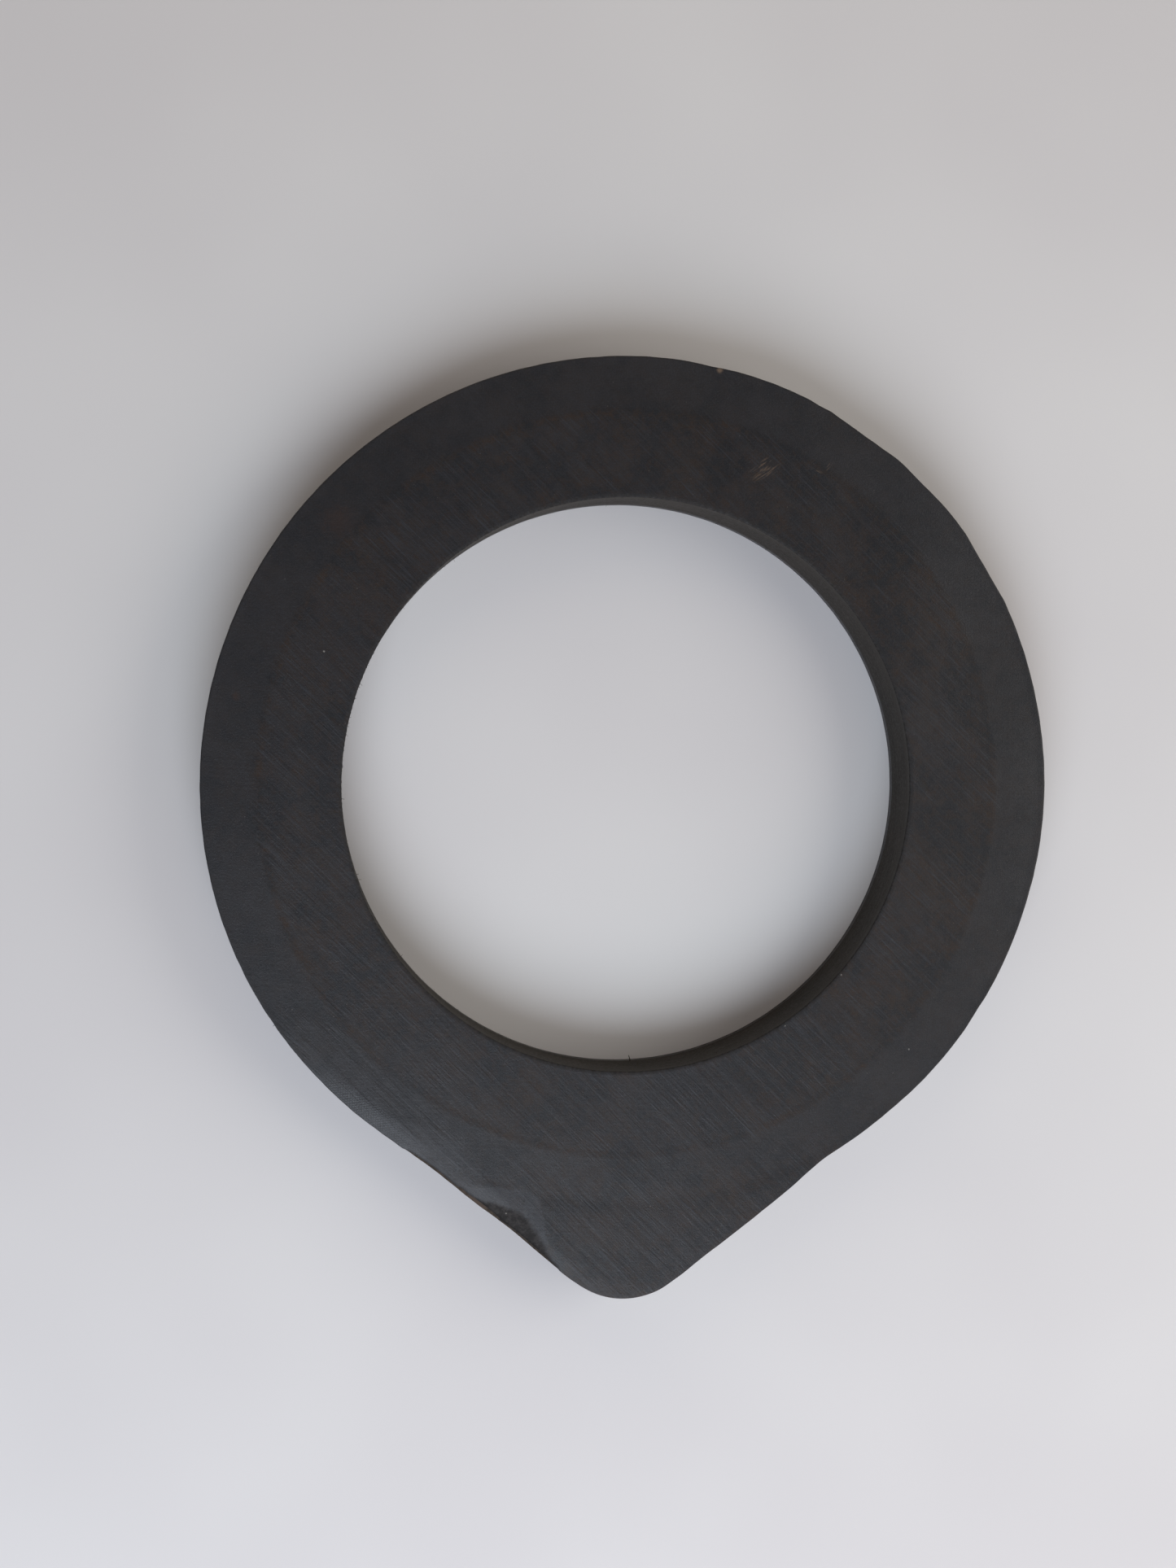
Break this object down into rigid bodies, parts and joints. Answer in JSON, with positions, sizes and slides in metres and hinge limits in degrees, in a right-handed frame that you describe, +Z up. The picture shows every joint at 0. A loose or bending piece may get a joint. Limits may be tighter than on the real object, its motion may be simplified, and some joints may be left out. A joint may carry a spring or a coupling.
{
  "type": "toilet flange gasket",
  "caption": "Flat ring gasket of cloth-inserted sheet rubber with a pointed pull tab; seals a toilet outlet flange round its bore.",
  "frame": {"origin": "centre of the bore on the bottom face", "axes": "+Z up the bore, out of the top face; the pull tab points along -Y, along the part's longest side"},
  "size_m": [0.151, 0.1671, 0.0127],
  "materials": {
    "cover_rubber": "matte, with a woven cloth impression",
    "core_rubber": "matte, knife cut",
    "cloth": "rubber-soaked cotton duck, cut edge"
  },
  "bodies": {
    "root": {"bottom_cover": "cover_rubber", "lower_cloth_ply": "cloth", "core_rubber": "core_rubber", "upper_cloth_ply": "cloth", "top_cover": "cover_rubber"}
  },
  "joints": []
}
